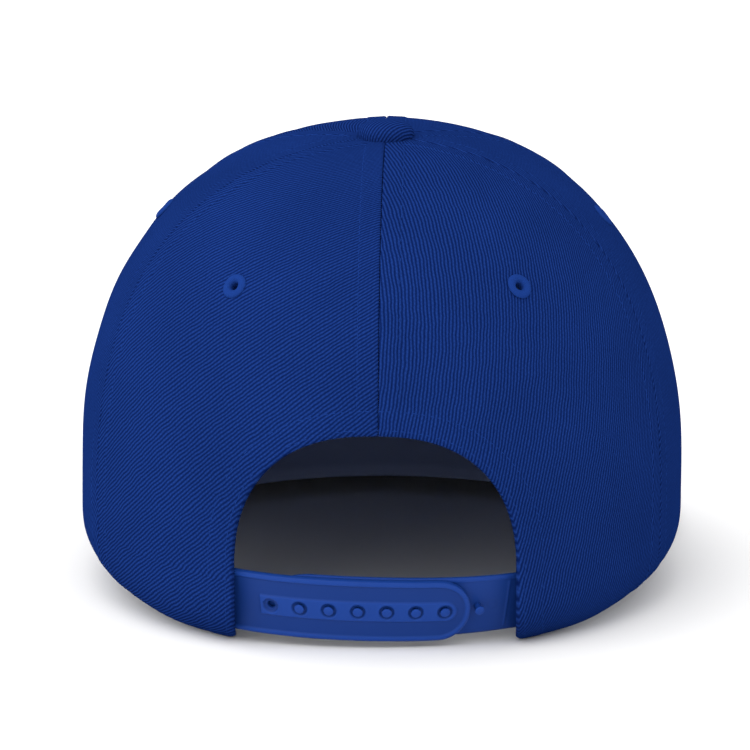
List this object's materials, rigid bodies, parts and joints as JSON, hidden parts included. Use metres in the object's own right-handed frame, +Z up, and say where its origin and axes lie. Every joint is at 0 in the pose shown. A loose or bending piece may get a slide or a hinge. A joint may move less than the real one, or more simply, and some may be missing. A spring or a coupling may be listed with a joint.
{
  "type": "snapback cap",
  "caption": "Deep panelled cap in royal blue twill with a wide flat peak, a covered button, thread eyelets and an arched back opening over a snap strap.",
  "frame": {"origin": "under the middle of the cap's box, on the surface that the cap rests on", "axes": "+Z up, the peak points to -Y, the strap is at +Y, the wearer's left is +X"},
  "size_m": [0.178, 0.2688, 0.1371],
  "materials": {
    "crown_cloth": "royal blue twill",
    "peak_cloth": "royal blue twill over a stiff board",
    "thread": "royal blue embroidery thread",
    "band_cloth": "dark navy plain weave",
    "strap_plastic": "satin royal blue moulding"
  },
  "bodies": {
    "root": {"panel_front_left": "crown_cloth", "panel_front_right": "crown_cloth", "panel_side_left": "crown_cloth", "panel_side_right": "crown_cloth", "panel_back_left": "crown_cloth", "panel_back_right": "crown_cloth", "eyelet_front_left": "thread", "eyelet_front_right": "thread", "eyelet_side_left": "thread", "eyelet_side_right": "thread", "eyelet_back_left": "thread", "eyelet_back_right": "thread", "button": "crown_cloth", "peak": "peak_cloth", "sweatband": "band_cloth", "strap_holes": "strap_plastic", "strap_pins": "strap_plastic"}
  },
  "joints": []
}
